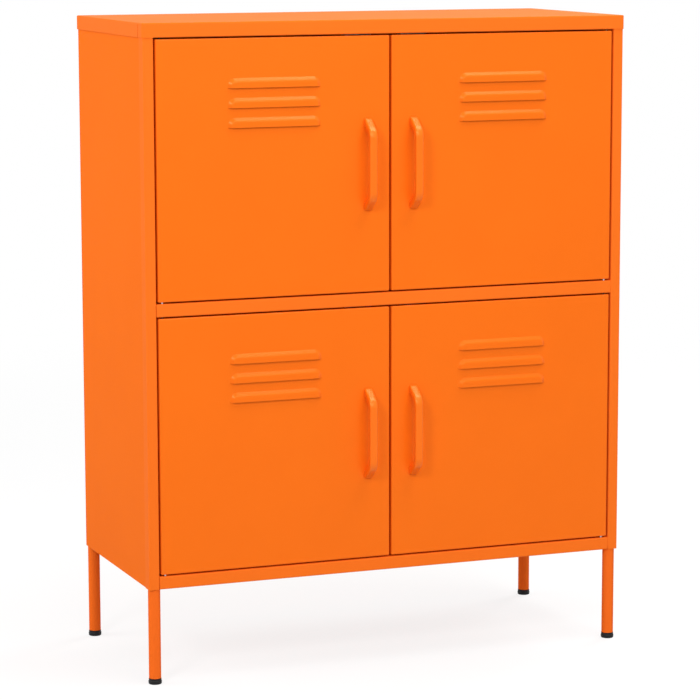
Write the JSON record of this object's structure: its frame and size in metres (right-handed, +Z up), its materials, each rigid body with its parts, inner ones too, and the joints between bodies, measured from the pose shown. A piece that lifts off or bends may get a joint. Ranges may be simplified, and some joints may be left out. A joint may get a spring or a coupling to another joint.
{
  "type": "school locker",
  "caption": "Low sheet-steel locker cabinet on round legs: louvred doors on pivot pins, with bow handles, close its shelved compartments, and threaded feet level it.",
  "frame": {"origin": "on the floor, in the middle of the cabinet's footprint with its handles", "axes": "+Z up, +X to the right seen from the front, the doors face -Y"},
  "size_m": [0.8, 0.3758, 1.015],
  "materials": {
    "body_paint": "orange powder coat, semi-matt",
    "door_paint": "orange powder coat, semi-matt",
    "handle_paint": "orange powder coat, satin",
    "leg_paint": "orange powder coat, semi-matt",
    "zinc": "bright zinc plate",
    "catch_plastic": "off-white moulded plastic",
    "foot_plastic": "black moulded plastic"
  },
  "bodies": {
    "cabinet": {"top_panel": "body_paint", "bottom_panel": "body_paint", "middle_shelf": "body_paint", "back_panel": "body_paint", "side_panel_left": "body_paint", "side_panel_right": "body_paint", "front_upright_left": "body_paint", "front_upright_right": "body_paint", "loose_shelf_lower": "body_paint", "loose_shelf_upper": "body_paint", "leg_bracket_front_left": "zinc", "leg_bracket_rear_left": "zinc", "leg_bracket_front_right": "zinc", "leg_bracket_rear_right": "zinc", "leg_front_left": "leg_paint", "leg_rear_left": "leg_paint", "leg_front_right": "leg_paint", "leg_rear_right": "leg_paint", "pin_bottom_lower_left": "zinc", "pin_top_lower_left": "zinc", "pin_bottom_lower_right": "zinc", "pin_top_lower_right": "zinc", "pin_bottom_upper_left": "zinc", "pin_top_upper_left": "zinc", "pin_bottom_upper_right": "zinc", "pin_top_upper_right": "zinc", "magnetic_catch_lower_left": "catch_plastic", "magnetic_catch_lower_right": "catch_plastic", "magnetic_catch_upper_left": "catch_plastic", "magnetic_catch_upper_right": "catch_plastic", "shelf_clip_front_lower_left": "zinc", "shelf_clip_rear_lower_left": "zinc", "shelf_clip_front_lower_right": "zinc", "shelf_clip_rear_lower_right": "zinc", "shelf_clip_front_upper_left": "zinc", "shelf_clip_rear_upper_left": "zinc", "shelf_clip_front_upper_right": "zinc", "shelf_clip_rear_upper_right": "zinc"},
    "door_lower_left": {"door_lower_left": "door_paint", "handle_lower_left": "handle_paint", "handle_screw_bottom_lower_left": "zinc", "handle_screw_top_lower_left": "zinc"},
    "door_lower_right": {"door_lower_right": "door_paint", "handle_lower_right": "handle_paint", "handle_screw_bottom_lower_right": "zinc", "handle_screw_top_lower_right": "zinc"},
    "door_upper_left": {"door_upper_left": "door_paint", "handle_upper_left": "handle_paint", "handle_screw_bottom_upper_left": "zinc", "handle_screw_top_upper_left": "zinc"},
    "door_upper_right": {"door_upper_right": "door_paint", "handle_upper_right": "handle_paint", "handle_screw_bottom_upper_right": "zinc", "handle_screw_top_upper_right": "zinc"},
    "foot_front_left": {"levelling_foot_front_left": "foot_plastic"},
    "foot_rear_left": {"levelling_foot_rear_left": "foot_plastic"},
    "foot_front_right": {"levelling_foot_front_right": "foot_plastic"},
    "foot_rear_right": {"levelling_foot_rear_right": "foot_plastic"}
  },
  "joints": [
    {"name": "door_lower_left_hinge", "type": "hinge", "parent": "cabinet", "child": "door_lower_left", "pos_m": [-0.3718, -0.1554, 0.37075], "axis": [0, 0, -1], "range_deg": [0, 110]},
    {"name": "door_lower_right_hinge", "type": "hinge", "parent": "cabinet", "child": "door_lower_right", "pos_m": [0.3718, -0.1554, 0.37075], "axis": [0, 0, 1], "range_deg": [0, 110]},
    {"name": "door_upper_left_hinge", "type": "hinge", "parent": "cabinet", "child": "door_upper_left", "pos_m": [-0.3718, -0.1554, 0.79225], "axis": [0, 0, -1], "range_deg": [0, 110]},
    {"name": "door_upper_right_hinge", "type": "hinge", "parent": "cabinet", "child": "door_upper_right", "pos_m": [0.3718, -0.1554, 0.79225], "axis": [0, 0, 1], "range_deg": [0, 110]},
    {"name": "foot_front_left_thread", "type": "slide", "parent": "cabinet", "child": "foot_front_left", "axis": [0, 0, -1], "range_m": [0, 0.008]},
    {"name": "foot_rear_left_thread", "type": "slide", "parent": "cabinet", "child": "foot_rear_left", "axis": [0, 0, -1], "range_m": [0, 0.008]},
    {"name": "foot_front_right_thread", "type": "slide", "parent": "cabinet", "child": "foot_front_right", "axis": [0, 0, -1], "range_m": [0, 0.008]},
    {"name": "foot_rear_right_thread", "type": "slide", "parent": "cabinet", "child": "foot_rear_right", "axis": [0, 0, -1], "range_m": [0, 0.008]}
  ]
}
